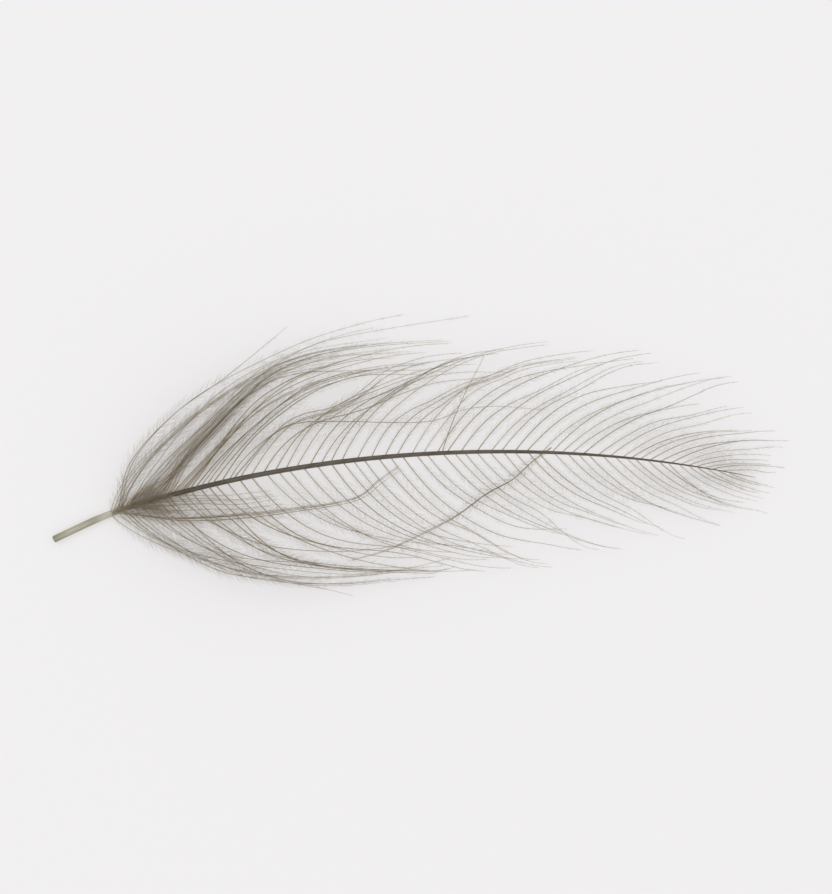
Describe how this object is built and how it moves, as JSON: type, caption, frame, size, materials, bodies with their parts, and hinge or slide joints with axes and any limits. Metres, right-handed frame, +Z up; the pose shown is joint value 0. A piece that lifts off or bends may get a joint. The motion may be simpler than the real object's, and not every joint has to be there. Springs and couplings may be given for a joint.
{
  "type": "hackle feather",
  "caption": "Small grey-brown downy feather lying flat: a bare quill end, a thin arched shaft and soft barbs that curve back towards the tip on both sides.",
  "frame": {"origin": "under the middle of the bounding box, on the surface that the feather lies on", "axes": "+X from the quill end to the tip, +Y towards the vane with the longer barbs, +Z up"},
  "size_m": [0.0458, 0.0168, 0.0034],
  "materials": {
    "feather": "matt grey-brown keratin barbs on a darker shaft, with a slightly glossy olive-beige quill end"
  },
  "bodies": {
    "root": {"feather": "feather"}
  },
  "joints": []
}
